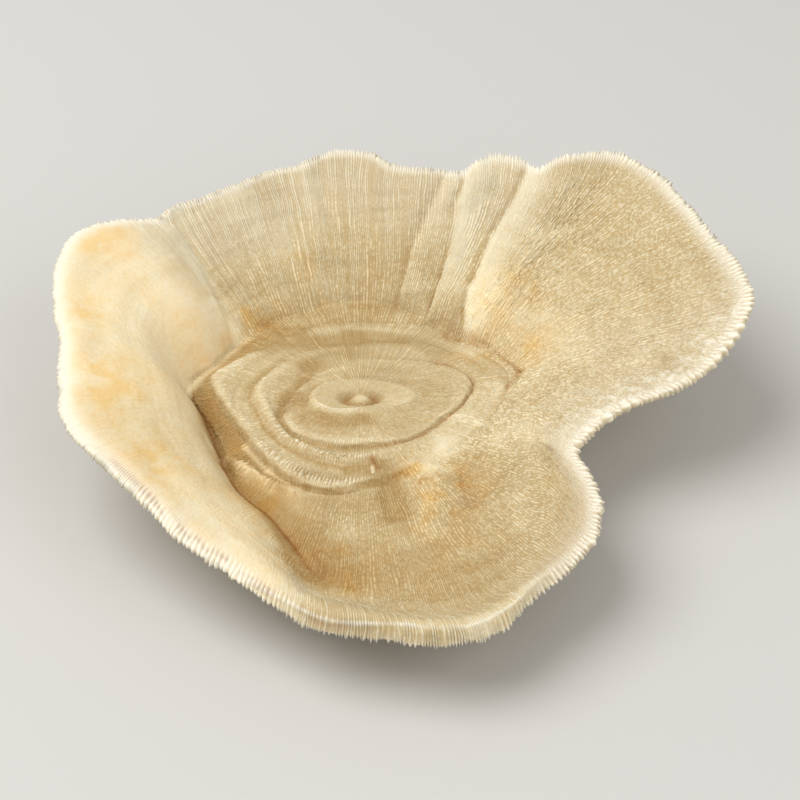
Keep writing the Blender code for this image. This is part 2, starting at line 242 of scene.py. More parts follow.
def wallLine(columns, t):
    rim, foot = columns["rim"], columns["foot"]
    pull = columns["span"] * 0.8
    line = np.empty_like(rim)
    line[:, :2] = hermite(foot[:, :2], rim[:, :2], columns["footOut"] * pull,
                          columns["rimOut"] * pull, t)
    line[:, 2] = foot[:, 2] + (rim[:, 2] - foot[:, 2]) * wallRise(columns["bearing"], t)
    reach = np.linalg.norm(line[:, :2], axis=1)
    bulge = pleatHeight(columns["bearing"], columns["turn"], reach, t)
    line[:, :2] -= squareOut(line, 0.008) * bulge[:, None] * 0.7
    line[:, 2] += bulge * 0.7
    return line


# value noise on a lattice that repeats every `around` cells along its first axis
def noise(x, y, seed, around=64):
    lattice = np.random.default_rng(seed).random((around, 257))
    x, y = np.broadcast_arrays(np.asarray(x, float), np.asarray(y, float))
    cellX, cellY = np.floor(x).astype(int), np.floor(y).astype(int)
    fadeX, fadeY = x - cellX, y - cellY
    fadeX, fadeY = fadeX * fadeX * (3 - 2 * fadeX), fadeY * fadeY * (3 - 2 * fadeY)
    left, right = cellX % around, (cellX + 1) % around
    low, high = cellY % 257, (cellY + 1) % 257
    bottom = lattice[left, low] * (1 - fadeX) + lattice[right, low] * fadeX
    top = lattice[left, high] * (1 - fadeX) + lattice[right, high] * fadeX
    return (bottom * (1 - fadeY) + top * fadeY) * 2 - 1


# noise over the flat, with cells of one size
def flatNoise(sheet, size, seed):
    return noise(sheet[..., 0] / size, sheet[..., 1] / size, seed)


def runAlong(sheet):
    steps = np.linalg.norm(np.diff(sheet[..., :3], axis=0), axis=-1)
    return np.concatenate([np.zeros((1, sheet.shape[1])), np.cumsum(steps, 0)])


# noise over a sheet: cells round it, and the length of a cell along its columns
def waves(sheet):
    run = runAlong(sheet)
    share = np.arange(sheet.shape[1])[None, :] / sheet.shape[1]
    return lambda cells, length, seed: noise(share * cells, run / length, seed, cells)


# rows evenly spaced along each column of lines and of those filled in between, and the lengths
def evenRows(lines, count, finer=1):
    rows = []
    for inner, outer in zip(lines[:-1], lines[1:]):
        rows += [inner * (1 - share) + outer * share for share in np.arange(finer) / finer]
    sheet = np.stack(rows + lines[-1:])
    travelled = runAlong(sheet)
    even = np.empty((count,) + sheet.shape[1:])
    for c in range(sheet.shape[1]):
        wanted = np.linspace(0, 1, count) * travelled[-1, c]
        for k in range(sheet.shape[2]):
            even[:, c, k] = np.interp(wanted, travelled[:, c], sheet[:, c, k])
    return even, travelled[-1]


def soften(sheet, passes):
    for _ in range(passes):
        sheet[1:-1] = (sheet[:-2] + 2 * sheet[1:-1] + sheet[2:]) / 4


# directions along the rows, along the columns and out of the face
def sheetDirections(sheet):
    around = np.roll(sheet[..., :3], -1, 1) - np.roll(sheet[..., :3], 1, 1)
    outward = np.gradient(sheet[..., :3], axis=0)
    normal = unit(np.cross(outward, around))
    for _ in range(3):
        normal = unit(np.roll(normal, 1, 1) + 2 * normal + np.roll(normal, -1, 1))
    return unit(around), unit(outward), normal


def columnGap(sheet):
    gap = np.linalg.norm(np.roll(sheet[..., :3], -1, 1) - sheet[..., :3], axis=-1)
    return (gap + np.roll(gap, 1, 1)) / 2


def softStep(x, low, high):
    t = clamp((x - low) / (high - low))
    return t * t * (3 - 2 * t)


def bell(x, width):
    return np.exp(-(x / width) ** 2)


def clamp(x):
    return np.clip(x, 0, 1)


# what differs round the saucer: the middle, half-width and fade of each part, in degrees
sectors = {
    "back": (102, 50, 24), "front": (288, 44, 30), "right": (5, 60, 40), "left": (198, 58, 20),
    "lip": (262, 41, 14), "lipStart": (235, 22, 16), "farRight": (337, 40, 16),
    "knobs": (354, 16, 10), "notch": (328.5, 3, 5), "trough": (200, 40, 16),
    "paleRight": (350, 24, 24), "paleNotch": (320, 22, 20), "coolRight": (356, 16, 12),
    "lipFoot": (226, 44, 16), "leftFoot": (194, 22, 12), "rightFootLight": (32, 26, 24),
    "footShadowLine": (216, 46, 16), "pits": (238, 28, 16), "leftFront": (224, 26, 20),
    "rightLobe": (18, 34, 24), "basin": (172, 46, 14), "steepLeft": (188, 50, 34),
    "undercut": (195, 66, 30), "cover": (172, 54, 30), "ringsRight": (350, 62, 40),
    "ringsBack": (92, 56, 40), "ringsLeft": (175, 36, 30), "ringLips": (232, 36, 26),
}


# 1 in the part named, and 0 away from it
def sector(bearing, name):
    middle, halfWidth, fade = sectors[name]
    away = np.abs((bearing - middle + 180) % 360 - 180)
    return 1 - softStep(away, halfWidth - fade / 2, halfWidth + fade / 2)


# how many times over the septa have merged where their columns crowd
def mergeLevel(gap, columnsPerSeptum, pitch, coarser):
    level = np.log2(np.maximum(pitch / (gap * columnsPerSeptum), 1.0)) + coarser
    return np.clip(level, 0, 6)


# ridge height from 0 in the gaps to 1 on the crests
def septumRidges(level, columnsPerSeptum):
    low = np.floor(level)
    blend = softStep(level - low, 0.25, 0.75)
    index = np.arange(level.shape[1])[None, :]
    waveLow = 0.5 + 0.5 * np.cos(2 * np.pi * index / (columnsPerSeptum * 2 ** low))
    waveHigh = 0.5 + 0.5 * np.cos(2 * np.pi * index / (columnsPerSeptum * 2 ** (low + 1)))
    return waveLow * (1 - blend) + waveHigh * blend


# strokes along the lip that hangs over the floor at the left of the front
lowerLipLines = [
    (-25.5, -13.8, -23, -16.5, 1.1, 0.8), (-23, -16.5, -19.5, -20, 1.1, 0.9),
    (-19.5, -20, -13, -24, 1, 0.8),
]


def link(name, data):
    made = bpy.data.objects.new(name, data)
    bpy.context.scene.collection.objects.link(made)
    return made


def gridMesh(name, cols, rows, size):
    grid = bmesh.new()
    bmesh.ops.create_grid(grid, x_segments=cols, y_segments=rows, size=size)
    mesh = bpy.data.meshes.new(name)
    grid.to_mesh(mesh)
    grid.free()
    return mesh


# a mesh from a grid, each of its points placed on the sheet; layers become attributes
def gridPiece(name, sheet, layers, material, closed=True):
    rows, cols = sheet.shape[:2]
    if closed:
        sheet = np.concatenate([sheet, sheet[:, :1]], 1)
        layers = {key: np.concatenate([layer, layer[:, :1]], 1) for key, layer in layers.items()}
        cols += 1
    mesh = gridMesh(name, cols - 1, rows - 1, 0.5)
    flat = np.empty(len(mesh.vertices) * 3, np.float32)
    mesh.vertices.foreach_get("co", flat)
    flat = flat.reshape(-1, 3)
    across = np.rint((flat[:, 0] + 0.5) * (cols - 1)).astype(int)
    down = np.rint((flat[:, 1] + 0.5) * (rows - 1)).astype(int)
    places = (sheet[down, across] - origin) * mm
    mesh.vertices.foreach_set("co", places.astype(np.float32).ravel())
    for key, layer in layers.items():
        values = mesh.attributes.new(key, "FLOAT", "POINT").data
        values.foreach_set("value", layer[down, across].astype(np.float32))
    corner = np.empty(len(mesh.loops), np.int32)
    mesh.loops.foreach_get("vertex_index", corner)
    unwrapped = np.stack([across[corner] / (cols - 1), down[corner] / (rows - 1)], -1)
    mesh.uv_layers.new(name="OFBake").data.foreach_set("uv", unwrapped.astype(np.float32).ravel())
    mesh.shade_smooth()
    finish = bmesh.new()
    finish.from_mesh(mesh)
    if closed:
        bmesh.ops.remove_doubles(finish, verts=finish.verts, dist=weldGap)
    bmesh.ops.reverse_faces(finish, faces=finish.faces)
    finish.to_mesh(mesh)
    finish.free()
    mesh.materials.append(material)
    piece = link(name, mesh)
    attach(piece, bodyName)
    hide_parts(nodeName)
    print("made", name, len(mesh.polygons), "faces")
    return piece


# fills the small hole that a round piece leaves in its middle
def closeMiddle(piece, centre):
    middle = Vector((np.array(centre) - origin[:2]) * mm)
    closing = bmesh.new()
    closing.from_mesh(piece.data)
    inner = [edge for edge in closing.edges
             if edge.is_boundary and (edge.verts[0].co.xy - middle).length < middleHole]
    bmesh.ops.holes_fill(closing, edges=inner, sides=0)
    closing.to_mesh(piece.data)
    closing.free()


# a row whose points between every so many columns lie straight, to meet a coarser piece
def straightened(row, every):
    count = len(row)
    index = np.arange(count)
    start = index // every * every
    share = ((index - start) / every)[:, None]
    return row[start] * (1 - share) + row[(start + every) % count] * share


# tan and orange stains: x, y, how far they reach and how strong they are
stainSpots = [
    (20, 15, 5, 0.4), (25, 13, 4, 0.3), (32, 12, 5, 0.4), (-30, -4, 5, 0.1), (-26, -14, 5, 0.1),
    (-20, -26, 5, 0.3), (19, -22, 8, 0.5), (15, -30, 9, 0.4), (-24, 26, 5, 0.7), (-18, 27, 4, 0.5),
    (-52, 30, 6, 0.7), (-56, 6, 7, 0.35), (-48, -12, 9, 0.35), (-5, -46, 12, 0.5), (18, -46, 12, 0.35),
    (30, 27, 8, 0.35), (-2, 33, 10, 0.3), (9, -20, 4, 0.5), (40, -34, 8, 0.3), (-38, -30, 8, 0.4),
    (58, 20, 12, 0.25), (-14, 38, 8, 0.3),
]


# strokes go from x, y to x, y, with a half-width and a strength; these are thin and brown, partly brown
# stains and partly painted shadow at feet and edges
rustAndShadowLines = [
    (19.5, -21.5, 21, -29, 1.1, 0.35), (21, -29, 16.5, -34, 0.9, 0.2), (17.8, 21.8, 20, 20.8, 1.2, 0.8),
    (22.5, 19.8, 24.5, 18.6, 1.3, 0.8), (27.5, 16.2, 32, 9.7, 0.7, 0.6), (32, 9.7, 29.4, 4.5, 0.7, 0.6),
    (29.4, 4.5, 25.5, -2.5, 0.6, 0.35), (2.5, -17.6, 3.6, -19.2, 1, 0.8),
    (11.5, -24, 15, -21.5, 0.8, 0.4), (-12.5, -36.5, -7, -45, 2.6, 0.4), (-15, -3, -14, 1, 0.9, 0.5),
    (-32, 25.5, -26, 33, 0.5, 0.25), (-15, -42, -12.5, -45, 0.8, 0.35),
]


# painted light and painted shade: lighter and darker strokes of the bone
paintedLightShadeLines = [
    (-35, 8.5, -25.5, 23, 4, 1.5), (-40, 39, -27, 24, 3, 0.8), (-30, -34, -12, -58, 7, 0.8),
    (-28.2, -3, -20.5, -19, 1.6, 0.6), (-21, -19.5, -13, -24.5, 1.6, 0.5), (-11, -2, -3, -5, 2.5, 0.7),
    (27, 3.5, 17, -12, 3, 0.7), (17, -12, 13, -20, 3.5, 1), (13, -20, 13.5, -35, 3.2, 0.8),
    (21.5, 21, 22, 16, 2.5, 0.8), (31.5, -10, 27, -13, 2.5, 0.6), (30.5, -30, 30.3, -38, 1.8, 0.5),
    (8, -68, 22, -67, 2.5, 0.8), (22, -67, 33, -57, 2.5, 0.9), (-27, 48, -18, 42, 4, 0.7),
    (-12, 54, -9.5, 45, 3, 0.6), (55, 3, 60, 6, 3, 0.4), (-20, 18, -13.5, 22.5, 2.6, -1.1),
    (16.5, 28.5, 20.5, 24, 2.6, -0.9), (-15, -3, -14, 1.5, 1.5, -1.5), (8, 30, 12, 29, 2.2, 0.4),
    (11.5, 36, 13.5, 44, 2.5, -0.35), (-11, 21, -2, 21.5, 2.4, -0.4), (-2, 21.5, 13, 20.5, 2.4, -0.4),
    (-3, -35, 7, -37, 3.5, 0.4), (-2, -20.5, 4, -20.5, 1.3, -0.8), (2.5, -18.8, 2.6, -20.8, 0.35, 2.5),
    (36, -16, 33, -14, 2.5, 0.6), (-37, 41, -28, 46, 3.5, 0.5), (-26, 28, -23, 25, 2.5, 0.6),
    (-31.2, 8, -22.2, 21, 1.2, -0.9), (-33, 5, -29.5, -8, 2, -0.9),
    (-22.5, -14.5, -14.5, -23.4, 1.4, -1.1), (-28.7, -2, -25.5, -9, 1.1, -0.7),
    (-22.4, -11.5, -17.6, -18.2, 0.9, 1.3), (-17.6, -18.2, -11.6, -23.6, 0.9, 1.1),
    (-11, -25, 5, -23.5, 1, 0.6), (-28.5, -11.5, -26.5, -15, 1.2, 0.9), (36, 35.8, 44, 37.3, 1.4, 0.5),
    (46, 33.2, 51.5, 29, 1, -0.3), (58, 4.5, 61.8, -2.5, 1, -0.6), (-36.5, 5.5, -26.6, 19.9, 1.2, 0.9),
    (-10.2, 7, -12.2, -0.8, 1.6, -0.6), (-12.2, -0.8, -11.5, -7, 1.5, -0.6),
    (-6, -1.5, -2.5, -3, 1.3, 0.6), (44, 30, 36, 37, 4, 0.3), (-29, -8.5, -23, -15.5, 1.2, -0.8),
    (4.2, -18.5, 5.2, -19.5, 1.2, -0.9), (-11.5, -42, -8.5, -47, 2.2, -0.8),
    (-32, 36, -28, 30, 1.6, -0.5), (-9, 36, -5, 34, 3, 0.4), (4, -20.5, 7, -20, 1.8, -1.2),
    (5.8, -24.5, 7.3, -31, 1.9, -1.6), (-21, -24, -8, -44, 4, -0.7), (-10.5, -39, -8, -44, 3.5, -0.6),
    (-11.5, -21.2, 3, -22.6, 1.4, -0.7), (-13, 19, -2, 18, 2.5, -0.5), (-2, 18, 16, 16.5, 2.5, -0.4),
    (-15, 0, -10.6, 11, 2, -0.6), (-10.6, 11, -3, 14.5, 2, -0.5), (-13, -36, -6, -46, 3.5, -0.9),
    (-51.5, -2, -51, -3, 3, -0.5), (-53, 20, -52, 21, 3.5, -0.5), (38, 22, 41, 37, 7, -0.3),
    (11.2, 35, 9.2, 33, 2.5, -0.4),
]


# sum of soft strokes laid along short lines
def strokes(sheet, table):
    x, y = sheet[..., 0], sheet[..., 1]
    total = np.zeros(x.shape)
    for x0, y0, x1, y1, halfWidth, strength in table:
        dx, dy = x1 - x0, y1 - y0
        along = np.clip(((x - x0) * dx + (y - y0) * dy) / (dx * dx + dy * dy), 0, 1)
        away = (x - x0 - along * dx) ** 2 + (y - y0 - along * dy) ** 2
        total += strength * np.exp(-away / halfWidth ** 2)
    return total


# brown strokes, partly stains and partly painted shadow
def rustAndShadowLayer(sheet):
    return strokes(sheet, rustAndShadowLines) * (0.75 + 0.4 * flatNoise(sheet, 1.3, 33))


# painted light and painted shade from the strokes, made uneven by noise
def paintedLightShadeLayer(sheet):
    return strokes(sheet, paintedLightShadeLines) * (0.9 + 0.3 * flatNoise(sheet, 2.2, 34))


def spot(sheet, x, y, reach):
    return np.exp(-((sheet[..., 0] - x) ** 2 + (sheet[..., 1] - y) ** 2) / reach ** 2)


def stainLayer(sheet):
    stainAndGlow = sum(strength * spot(sheet, x, y, reach) for x, y, reach, strength in stainSpots)
    patch = flatNoise(sheet, 4, 31) + flatNoise(sheet, 1.6, 32)
    return clamp(stainAndGlow * (0.75 + 0.45 * patch))


# raises the septa of a sheet: each has its own strength, comes and goes, and is beaded
def raiseSepta(sheet, columnsPerSeptum, seed, coarser=0.0, strength=1.0, beads=1.0,
               pitch=septa["pitch"], dashed=0.5, contrast=1.0):
    around, outward, normal = sheetDirections(sheet)
    run = runAlong(sheet)
    wave = waves(sheet)
    gap = columnGap(sheet)
    stagger = 0.5 * wave(208, 5.0, seed + 9) + 0.3 * wave(52, 9.0, seed + 8)
    level = mergeLevel(gap, columnsPerSeptum, pitch, coarser)
    level = np.clip(level + stagger * np.minimum(level * 2, 1), 0, 6)
    ridge = septumRidges(level, columnsPerSeptum)
    septaCount = sheet.shape[1] // columnsPerSeptum
    step = 2 ** np.rint(level)
    septum = np.arange(sheet.shape[1])[None, :] / columnsPerSeptum
    key = np.rint(septum / step) * step % septaCount
    own = noise(key, 0 * key, seed, septaCount)
    fading = noise(key, run / 3.0, seed + 1, septaCount)
    bead = noise(key, run / septa["beadLength"], seed + 2, septaCount)
    tall = np.clip(1 + septa["unevenness"] * (own + 0.8 * fading), 0.1, 2.2)
    height = ridge * (septa["height"] * tall + septa["beadHeight"] * bead * beads) - septa["height"]
    sway = septa["sway"] * wave(32, septa["swayLength"], seed + 4)
    sway += septa["sway"] * 0.4 * wave(208, 2.2, seed + 5)
    spacing = gap * columnsPerSeptum * np.minimum(step, 4)
    sway = sway + 0.30 * spacing * wave(septaCount // 2, 2.8, seed + 6)
    painted = 0.42 + (0.26 - 0.16 * dashed) * own + (0.22 - 0.14 * dashed) * fading
    painted = painted + (0.12 + 0.36 * dashed) * bead
    painted = 0.25 + ridge * np.clip(painted, 0, 1.1)
    return {"around": around, "outward": outward, "normal": normal, "run": run, "ridge": ridge,
            "height": height * strength, "sway": sway, "painted": 0.5 + (painted - 0.5) * contrast,
            "own": own, "key": key.astype(int)}


# soft ridges and hollows of the floor; a stroke's strength is its height
floorLumps = [
    (5.5, -24, 7, -31, 2, -1), (12, -20, 13.5, -30, 3.2, 1.1), (19.5, -21, 21, -29, 1.7, -0.8),
    (21, -29, 16, -34, 1.8, -0.4), (24, -25, 30, -38, 3.2, 0.7), (-3, -27, -6, -34, 2.5, -0.35),
    (29.5, -15.5, 42.5, 1.5, 0.9, 0.55), (33, -17, 44, -4, 0.8, 0.5), (36.5, -19, 45, -9, 0.8, 0.5),
    (26, -12, 38, 2, 1.4, 0.35), (-25.5, -13.8, -20, -19.5, 1.3, 1), (-20, -19.5, -13, -24, 1.2, 0.9),
    (-30, -13, -21.5, -22, 1.2, -0.4), (18, 21.5, 20, 20.5, 1.3, -0.6), (22.5, 19.5, 25, 18, 1.4, -0.6),
    (35, 34.5, 43.5, 35.8, 1.8, 0.3), (43.5, 35.8, 51.7, 31.5, 1.8, 0.4),
    (51.7, 31.5, 57.3, 22.5, 1.8, 0.35), (57.5, 5.5, 62, -3, 1.2, -0.6), (45, 5, 56.5, 8, 1.6, 0.45),
    (47, -0.5, 55, 1.5, 1.3, 0.35),
]


# folds of the wall: a line by stage and share of the way round, the side of its steep flank, the
# dip's depth and width, the flank's rise, its width and its back's, and how strong the painted
# highlight on the flank is, how widely and how far ahead of the line
creases = [
    (((0, 0.242), (0.38, 0.2392), (0.53, 0.235), (0.77, 0.229), (1, 0.2248)),
     1, 0.5, 1.6, 0.9, 2.4, 4.5, 0.6, 4, 0),
    (((0, 0.216), (0.41, 0.2181), (0.73, 0.2193), (0.92, 0.2157), (1, 0.2145)),
     1, 0.6, 1.5, 1.4, 2.6, 6, 1.1, 7, 0),
    (((0, 0.16), (0.11, 0.1737), (0.23, 0.1821), (0.53, 0.1869), (0.91, 0.1809), (1, 0.179)),
     1, 0.7, 1.8, 1.2, 4.6, 8, 1.35, 5, 0.9),
    (((0, 0.383), (0.18, 0.3816), (0.33, 0.378), (0.51, 0.3732), (0.72, 0.3714), (0.86, 0.3732),
      (1, 0.3775)),
     -1, 0.3, 1.6, 0.7, 2.6, 9, 0.4, 5, 0),
]


# height of the folds, and the painted highlight along their flanks
def creaseRelief(sheet):
    stage = sheet[..., 3]
    cols = sheet.shape[1]
    gap = evened(np.maximum(columnGap(sheet), 0.02).T, 0.004).T
    here = np.arange(cols)[None, :] / cols
    shown = softStep(stage, -0.05, 0.15)
    height = np.zeros(stage.shape)
    light = np.zeros(stage.shape)
    for line, side, dip, dipWidth, rise, flank, back, bright, wide, ahead in creases:
        line = np.interp(stage, column(line, 0), column(line, 1))
        away = ((line - here + 0.5) % 1 - 0.5) * cols * gap * side
        fold = rise * softStep(away, -0.3, flank) * bell(np.maximum(away - flank, 0), back)
        fold -= dip * bell(away, dipWidth)
        height += fold * shown * (1 - 0.75 * softStep(stage, 0.8, 1.0))
        away = away + ahead
        lit = softStep(away, -0.2, 0.9) * bell(np.maximum(away - 1.4, 0), wide)
        lit -= 0.5 * bell(away + 0.3, 0.6)
        light += bright * lit * shown
    return height, light


saucer = {
    "edgeThickness": 1.7, "footThickness": 3.4, "footCover": 1.4, "ledgeReach": 1.3,
    "toothReach": 0.75, "basinLines": 18, "wallLines": 110, "wallRows": 176, "edgeRows": 10,
    "turnedUnder": (0.99, 0.975, 0.96),
    "sectors": ("wallRight", "wallBack", "wallLeft", "wallFront"),
}

# drop outside the outermost ring: bearing and depth
ledgeDrops = [
    (0, 0.1), (30, 0.1), (60, 0.3), (120, 0.5), (160, 0.6), (190, 1.1), (212, 2), (236, 2.2),
    (256, 1.8), (272, 1.2), (290, 0.5), (305, 0.2), (330, 0.1),
]


def faceUp(line, inner, outer):
    return unit(np.cross(outer - inner, np.roll(line, -1, 0) - np.roll(line, 1, 0)))


def underLine(columns, t):
    line = wallLine(columns, t)
    normal = faceUp(line, wallLine(columns, t - 0.03), wallLine(columns, min(t + 0.03, 1.0)))
    normal = unit(evened(normal, 0.004))
    cover = saucer["footCover"] * math.exp(-((t - 0.06) / 0.12) ** 2)
    cover = cover * sector(columns["bearing"], "cover")[:, None]
    thick = saucer["footThickness"] + (saucer["edgeThickness"] - saucer["footThickness"]) * t
    return line - normal * (thick + cover)


def withStage(line, stage):
    return np.column_stack([line, np.full(len(line), float(stage))])


def ledgeLine(bearing):
    line = growthLine("outerCrest", bearing, saucer["ledgeReach"])
    line[:, 2] -= atBearing(ledgeDrops, 1, bearing)
    return line


def wallSheet(columns):
    below = ledgeLine(columns["bearing"] + columns["turn"])
    foot = wallLine(columns, 0.0)
    lines = []
    # the floor between the ledge round the rings and the foot of the wall
    for share in np.linspace(0, 1, saucer["basinLines"])[:-1]:
        line = below * (1 - share) + foot * share
        line[:, 2] += 0.8 * share * (1 - share)
        lines.append(withStage(line, share - 1))
    for t in np.linspace(0, 1, saucer["wallLines"]):
        lines.append(withStage(wallLine(columns, t), t))
    sheet = evenRows(lines, saucer["wallRows"])[0]
    soften(sheet, 4)
    # the wall on the left stands steeply on its foot
    stage = sheet[..., 3]
    bearing = columns["bearing"][None]
    normal = sheetDirections(sheet)[2]
    steep = sector(bearing, "steepLeft") * softStep(stage, -0.02, 0.08)
    steep = steep * (1 - softStep(stage, 0.1, 0.5))
    height = strokes(sheet, floorLumps) + creaseRelief(sheet)[0] + 0.3 * steep
    height -= 0.5 * (bell(stage + 0.06, 0.07) * sector(bearing, "undercut"))
    sheet[..., :3] += normal * height[..., None]
    return sheet


# the edge turns over as half a round, then runs a little way under
def edgeSheet(columns, sheet):
    rim = sheet[-1, :, :3]
    slope = unit(evened(rim - sheet[-6, :, :3], 0.002))
    normal = faceUp(rim, sheet[-6, :, :3], rim)
    normal = unit(evened(normal, 0.002))
    thick = saucer["edgeThickness"]
    rows = []
    for turn in np.linspace(0, math.pi, saucer["edgeRows"] + 1)[1:]:
        line = rim + slope * math.sin(turn) * thick * 0.4 - normal * (1 - math.cos(turn)) * thick / 2
        rows.append(withStage(line, 1 + turn / math.pi))
    for k, t in enumerate(saucer["turnedUnder"]):
        rows.append(withStage(underLine(columns, t), 2.1 + 0.1 * k))
    return np.stack(rows), slope


# where the lip's crest runs: bearing and stage
lipCrests = [
    (240, 0.99), (250, 0.97), (261, 0.93), (270, 0.93), (277, 0.87), (284, 0.88), (292, 0.86),
    (303, 0.87), (320, 0.95), (0, 1), (180, 1),
]


def wallPieces(columns, material):
    sheet = wallSheet(columns)
    under, slope = edgeSheet(columns, sheet)
    sheet = np.concatenate([sheet, under])
    stage = sheet[..., 3]
    bearing = columns["bearing"][None, :]
    part = {name: sector(bearing, name) for name in sectors}
    back, right, left, lip = part["back"], part["right"], part["left"], part["lip"]
    beyond = np.linalg.norm(sheet[..., :3] - columns["rim"][None], axis=-1)
    onTop = stage <= 1.0
    nearRim = np.where(onTop, bell(beyond, 1.4 + 1.4 * back), 1.0)
    upper = np.where(onTop, bell(beyond, 16), 1.0)
    knobs = part["knobs"] * bell(beyond, 9) * onTop
    lowerLip = strokes(sheet, lowerLipLines)
    trough = part["trough"] * (stage < 0) * clamp(1 - 1.2 * lowerLip)

    # how strong and how coarse the septa are
    band = softStep(stage, 0.84, 0.93) * lip
    coarse = 0.35 + 0.5 * part["lipStart"]
    coarser = np.maximum(band * coarse, nearRim * (0.4 * right + part["farRight"]))
    coarser = coarser + softStep(stage, 1.9, 2.1) * (1 - np.minimum(coarser, 1)) + lowerLip
    strength = 0.34 + 0.36 * upper + 0.12 * right + 0.18 * back + 0.35 * trough
    strength = strength * (1 - 0.78 * left * (1 - nearRim) * (stage > 0)) + 0.42 * band + 0.4 * lowerLip
    strength = strength * (1 - 0.6 * part["notch"] * softStep(stage, 0.5, 0.75))
    beads = 0.8 * trough + (0.8 + 1.6 * right + 1.2 * (1 - upper)) * (1 - 0.6 * back) - 0.3 * left
    dashed = clamp(1.1 - upper + 0.7 * right) * (1 - 0.5 * left) * (1 - 0.5 * back)
    contrast = 0.9 + 0.65 * back + 0.6 * right + 0.4 * lowerLip + 0.3 * part["front"] + 0.7 * trough
    raised = raiseSepta(sheet, 2, 5, coarser, strength, beads, septa["pitch"], dashed, contrast)
    run, ridge, normal = raised["run"], raised["ridge"], raised["normal"]

    # growth swells, lumps and pimples
    wave = waves(sheet)
    terrace = (0.12 * wave(14, 2.6, 11) + 0.08 * wave(35, 1.1, 12)) * (1 - 0.65 * left)
    lumps = 0.30 * wave(24, 9.0, 13) + 0.14 * wave(69, 4.0, 14)
    pimples = 0.13 * wave(832, 0.6, 16) * (0.5 + right * softStep(stage, 0.1, 0.3))
    pimples = pimples * (1 - 0.35 * left - 0.6 * back)
    knobbly = wave(416, 1.1, 24)
    pimples = pimples + 0.4 * knobs * clamp(knobbly)
    fade = softStep(beyond, 0, 4) * np.where(onTop, 1, 0) * softStep(run, 0, 1.5)

    # teeth of the rim, one to a septum
    septum = raised["key"]
    random = np.random.default_rng(15).random((4, septa["count"]))
    tooth = 0.15 + 0.95 * random[0][septum] ** 2 + 0.4 * random[1][septum // 5]
    tooth += (0.55 + 0.5 * random[0][septum] - tooth) * 0.7 * back
    longer = 1 + 0.3 * right + 0.35 * part["knobs"] - 0.4 * left * (stage < 1.9)
    tooth = tooth * longer * saucer["toothReach"]
    lean = (random[2][septum] - 0.5) * 0.7
    rounding = clamp(stage - 1)
    window = np.where(onTop, bell(beyond, 0.6), np.cos(rounding * math.pi * 0.5) ** 1.5)
    window = np.where(stage > 2, 0, window)
    crestAt = atBearing(lipCrests, 1, bearing)
    lipCrest = bell(stage - crestAt, 0.018) * lip * clamp(0.75 + 0.6 * wave(104, 3.0, 19))
    ragged = 0.35 * wave(166, 3.0, 17)[:1] + 0.3 * wave(64, 3.0, 18)[:1]
    height = raised["height"] + (terrace + lumps) * fade + pimples * fade
    height = height + lipCrest * 0.55 * (ridge * (0.4 + 0.6 * raised["own"]))
    sideways = raised["sway"] * (stage < 2) * np.minimum(fade + 0.75, 1) + ridge * lean * window
    reach = (ridge - 0.45) * tooth * window + ragged * window
    shaped = sheet[..., :3] + normal * height[..., None]
    shaped += raised["around"] * sideways[..., None] + slope[None] * reach[..., None]
    for end in (0, -1):
        shaped[end] = straightened(shaped[end], 2)

    # how white the bone is by the rim
    whiteReach = 1.1 + 1.6 * left + right + 0.9 * part["farRight"]
    edge = np.where(onTop, bell(beyond, whiteReach), np.exp(-rounding * 1.6)) * (0.35 + 0.65 * ridge)
    pale = part["paleRight"] + part["paleNotch"]
    cool = back * softStep(stage, 0.35, 0.7) + 0.8 * part["coolRight"] * softStep(stage, 0.2, 0.4)
    for least in (0.26 * onTop * pale * bell(beyond, 7.5), 0.14 * cool * onTop,
                  knobs * clamp(0.2 + 0.8 * knobbly)):
        edge = np.maximum(edge, least)
    belowCrest = (stage > crestAt + 0.02) * (1 - softStep(stage, 1.0, 1.1))
    edge = edge * (1 - band * belowCrest * 0.8)
    edge = np.maximum(edge, lipCrest * (0.3 + 0.7 * ridge))
    # painted glow: the left lobe is whitened, lightened and warmed as though light shone through its
    # thin plate
    paintedGlow = spot(sheet, -31, 16, 9.0) * (stage > 0.02)
    edge = np.maximum(edge, 0.15 * paintedGlow * left * onTop)

    # painted light and shade along with the bone's own lighter and darker tone, warm stains with a
    # painted glow, and rust with a painted shadow line
    # a second painted glow, further out on the left lobe
    paintedGlowBeyond = spot(sheet, -41, 9, 8.0) * (stage > 0.05)
    foldLight = creaseRelief(sheet)[1] * onTop
    # painted shadow along the wall's foot, where the wall shades the floor beside it
    paintedFootShadow = np.where(stage < 0, bell(stage, 0.3), bell(stage, 0.04)) * part["lipFoot"]
    paintedFootShadow = np.maximum(paintedFootShadow, part["leftFoot"] * (stage < 0) * softStep(stage, -1.1, -0.7) * 0.8)
    # painted light at the foot of the right wall
    rightFootLight = part["rightFootLight"] * bell(stage - 0.16, 0.18)
    pits = bell(beyond - 1.4, 0.8) * onTop * part["pits"] * clamp(0.3 + 1.3 * wave(208, 1.6, 23))
    basin = softStep(-stage, -0.2, 0.1) * (1 - right)
    leftOnly = left * (1 - nearRim)
    # painted light: the left lobe, the right foot and the folds' flanks are lighter
    paintedLightShadeTone = 1.25 * left * softStep(stage, 0.02, 0.2) + 0.7 * rightFootLight + 0.9 * foldLight
    paintedLightShadeTone += (0.7 * paintedGlow + 0.6 * paintedGlowBeyond) * left + paintedLightShadeLayer(sheet) * (stage < 1.2)
